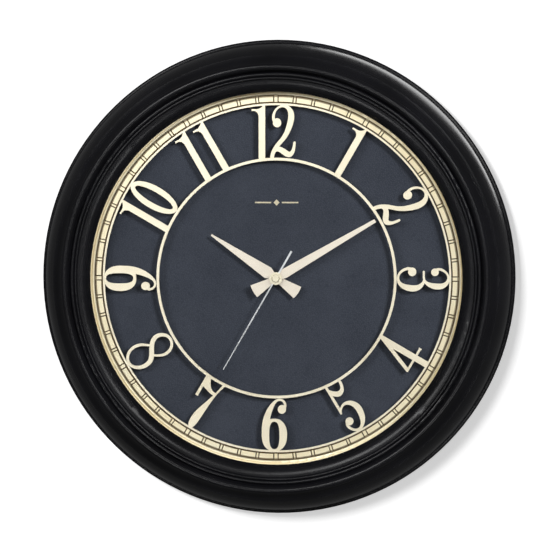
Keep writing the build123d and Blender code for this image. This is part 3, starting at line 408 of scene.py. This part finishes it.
finishes = {
    "frame_lacquer": black_lacquer(),
    "glass": clear_glass(),
    # The track's colour carries painted shade by depth and a painted shadow band under its rim.
    "minute_ring": pale_gold(
        "pale_gold_track",
        (0.95, 0.82, 0.56),
        (0.98, 0.88, 0.66),
        groove=-0.0276,
        crest=-0.0287,
        recess_r=0.1532,
        bead_r=0.1552,
    ),
    # The numerals' colour carries painted shade by depth.
    "numeral_ring": pale_gold(
        "pale_gold_numerals", (0.95, 0.84, 0.64), (0.98, 0.89, 0.72), groove=-0.0262, crest=-0.0276
    ),
    "dial_board": leather_dial(),
    "emblem_gold": brushed("emblem_gold", (0.80, 0.70, 0.52), 0.42, (60, 60, 4000)),
    "second_white": brushed(
        "second_white", (0.93, 0.93, 0.95), 0.4, (120, 4000, 9000), blade_turn("second_hand"), tone=0.04
    ),
    "brass": turned_metal("turned_brass", (0.80, 0.60, 0.30), 0.28),
    "cap_metal": turned_metal("satin_cap", (0.97, 0.88, 0.68), 0.38, 0.75),
    "cover_board": plain("cover_board", (0.030, 0.029, 0.028), 0.66, grain=700.0, depth=0.00012, tone=0.2),
    "steel": plain(
        "zinc_steel", (0.62, 0.63, 0.62), 0.32, 1.0, grain=1400.0, depth=0.00002, tone=0.1
    ),
    "case_plastic": plain("case_plastic", (0.022, 0.022, 0.024), 0.52, grain=2200.0, depth=0.00008),
    "wheel_plastic": plain(
        "wheel_plastic", (0.76, 0.74, 0.67), 0.42, grain=1500.0, Subsurface_Weight=0.05
    ),
    "knob_plastic": plain("knob_plastic", (0.50, 0.035, 0.025), 0.38, grain=1500.0),
    "magnet": plain("sintered_magnet", (0.13, 0.13, 0.14), 0.55, 0.8, grain=2600.0, depth=0.00006),
    "silicon_steel": brushed("silicon_steel", (0.44, 0.45, 0.47), 0.36, (60, 60, 2600)),
    "bobbin_plastic": plain("bobbin_plastic", (0.80, 0.79, 0.74), 0.45, grain=1500.0),
    "copper": wound_copper(),
    "board_green": solder_board(),
    "epoxy": plain("epoxy_drop", (0.012, 0.012, 0.013), 0.3, grain=500.0),
    "nickel": plain("nickel_plate", (0.72, 0.70, 0.66), 0.22, 1.0, grain=1800.0, depth=0.00002),
    "cell_sleeve": cell_sleeve(),
    "rubber": plain("washer_rubber", (0.022, 0.022, 0.022), 0.75, grain=1100.0, depth=0.0001),
}
for hand in ("hour_hand", "minute_hand"):
    finishes[hand] = brushed(
        "champagne_" + hand, (0.97, 0.86, 0.74), 0.42, (120, 4000, 5200), blade_turn(hand), 0.75, tone=0.05
    )

for row in frame["record"]["subparts"]:
    piece = bpy.data.objects[row["node"]]
    finish = finishes.get(row["node"]) or finishes[row["material_slot"]]
    for slot in piece.material_slots:
        slot.material = finish


# --- rounded edges --------------------------------------------------------------------------
def soften(name, width):
    """Joins a piece's shared corners and rounds its sharp edges."""
    piece = bpy.data.objects[name]
    weld = piece.modifiers.new("join", "WELD")
    weld.merge_threshold = 0.000002
    bevel = piece.modifiers.new("round", "BEVEL")
    bevel.width = width
    bevel.segments = 2
    bevel.limit_method = "ANGLE"
    bevel.angle_limit = math.radians(35)
    bevel.harden_normals = False
    bevel.use_clamp_overlap = True


for name, width in (
    ("numeral_ring", 0.00035),
    ("minute_ring", 0.00025),
    ("hour_hand", 0.00012),
    ("minute_hand", 0.00012),
):
    soften(name, width)


# --- stage ----------------------------------------------------------------------------------
def sheet_of(name, corners, material):
    mesh = bpy.data.meshes.new(name)
    mesh.from_pydata(corners, [], [(0, 1, 2, 3)])
    made = bpy.data.objects.new(name, mesh)
    mesh.materials.append(material)
    scene.collection.objects.link(made)
    return made


wall_paint, wall_tree, wall_body = new_material("wall_paint", (0.93, 0.93, 0.93), 0.9)
wall_body.inputs["Specular IOR Level"].default_value = 0.0
wall_body.inputs["Emission Color"].default_value = (1, 1, 1, 1)
wall_body.inputs["Emission Strength"].default_value = 0.52
wall_tone = spread(wall_tree, noise(wall_tree, coords(wall_tree), 40.0), 0, 1)
wall_tint = blend_colours(wall_tree, wall_tone, (0.925, 0.925, 0.925), (0.94, 0.94, 0.94))
wall_tree.links.new(wall_tint, wall_body.inputs["Base Color"])
# Seen from behind, the wall is clear, so the back of the clock shows through it.
open_back = wall_tree.nodes.new("ShaderNodeBsdfTransparent")
side = wall_tree.nodes.new("ShaderNodeNewGeometry")
one_sided = wall_tree.nodes.new("ShaderNodeMixShader")
wall_tree.links.new(side.outputs["Backfacing"], one_sided.inputs[0])
wall_tree.links.new(wall_body.outputs[0], one_sided.inputs[1])
wall_tree.links.new(open_back.outputs[0], one_sided.inputs[2])
wall_tree.links.new(one_sided.outputs[0], wall_tree.nodes["Material Output"].inputs["Surface"])
wall_y, wall_half = 0.0012, 2.4
floor_z, floor_front, floor_rear = -1.1, -3.0, 1.6
wall = sheet_of(
    "wall",
    [
        (-wall_half, wall_y, floor_z),
        (wall_half, wall_y, floor_z),
        (wall_half, wall_y, wall_half),
        (-wall_half, wall_y, wall_half),
    ],
    wall_paint,
)
wall.visible_diffuse = False
wall.visible_glossy = False
wall.visible_transmission = False
wall.visible_shadow = False
floor_paint = plain("floor_paint", (0.80, 0.80, 0.79), 0.85, grain=120.0, tone=0.02)
floor = sheet_of(
    "floor",
    [
        (-wall_half, floor_front, floor_z),
        (wall_half, floor_front, floor_z),
        (wall_half, floor_rear, floor_z),
        (-wall_half, floor_rear, floor_z),
    ],
    floor_paint,
)
floor.visible_diffuse = False
floor.visible_glossy = False


# --- lights ---------------------------------------------------------------------------------
def softbox(name, place, size, radiance):
    """A square light aimed at the dial. Its size doesn't change how bright its face looks."""
    light = bpy.data.lights.new(name, "AREA")
    light.shape = "SQUARE"
    light.size = size
    light.energy = radiance * math.pi * size * size
    made = bpy.data.objects.new(name, light)
    made.location = place
    made.rotation_mode = "QUATERNION"
    made.rotation_quaternion = (Vector((0, 0, 0)) - Vector(place)).to_track_quat("-Z", "Y")
    scene.collection.objects.link(made)
    return made


def light_only(light, name, pieces):
    """Keeps a light's effect to some pieces; every piece still casts a shadow in it."""
    lit = bpy.data.collections.new(name)
    for piece in pieces:
        lit.objects.link(piece)
    light.light_linking.receiver_collection = lit


# Four lights close to the camera's line draw the highlights, and only the first also adds to the
# diffuse light. The key from the upper right and a weak fill leave soft shadows on the dial. The
# wall has a light of its own from the upper left.
near_y = -2.2
lit_pieces = [bpy.data.objects[row["node"]] for row in frame["record"]["subparts"]] + [floor]
for name, x, z, size, radiance in (
    ("near_upper_left", -0.60, 0.62, 0.6, 10.5),
    ("near_upper_right", 0.62, 0.58, 0.55, 8.5),
    ("near_lower_left", -0.52, -0.76, 0.36, 9.0),
    ("near_lower_right", 0.62, -0.7, 0.36, 8.0),
):
    near_light = softbox(name, (x, near_y, z), size, radiance)
    near_light.visible_diffuse = name == "near_upper_left"
    light_only(near_light, name + "_lights", lit_pieces)
for name, place, size, radiance in (
    ("key", (1.34, -1.55, 0.78), 0.5, 70.0),
    ("fill", (-1.5, -1.5, 0.7), 0.7, 18.0),
):
    side_light = softbox(name, place, size, radiance)
    side_light.visible_glossy = False
    light_only(side_light, name + "_lights", lit_pieces)
light_only(softbox("wall_key", (-0.8, near_y, 0.8), 0.5, 46.0), "wall_key_lights", [wall])
light_only(softbox("behind", (0.7, 1.7, 0.9), 1.2, 2.6), "behind_lights", lit_pieces)

world = bpy.data.worlds.new("studio")
scene.world = world
world.use_nodes = True
world_tree = world.node_tree
sky = world_tree.nodes["Background"]
sky.inputs["Color"].default_value = (1, 1, 1, 1)
# The background is white to the camera and dim to every other ray.
sky_dim, sky_to_camera, sky_off_gloss = 0.14, 0.86, 0.01
path = world_tree.nodes.new("ShaderNodeLightPath")
to_camera = arithmetic(world_tree, "MULTIPLY", path.outputs["Is Camera Ray"], sky_to_camera)
off_gloss = arithmetic(world_tree, "MULTIPLY", path.outputs["Is Glossy Ray"], sky_off_gloss)
level = arithmetic(world_tree, "ADD", to_camera, sky_dim)
level = arithmetic(world_tree, "SUBTRACT", level, off_gloss)
world_tree.links.new(level, sky.inputs["Strength"])
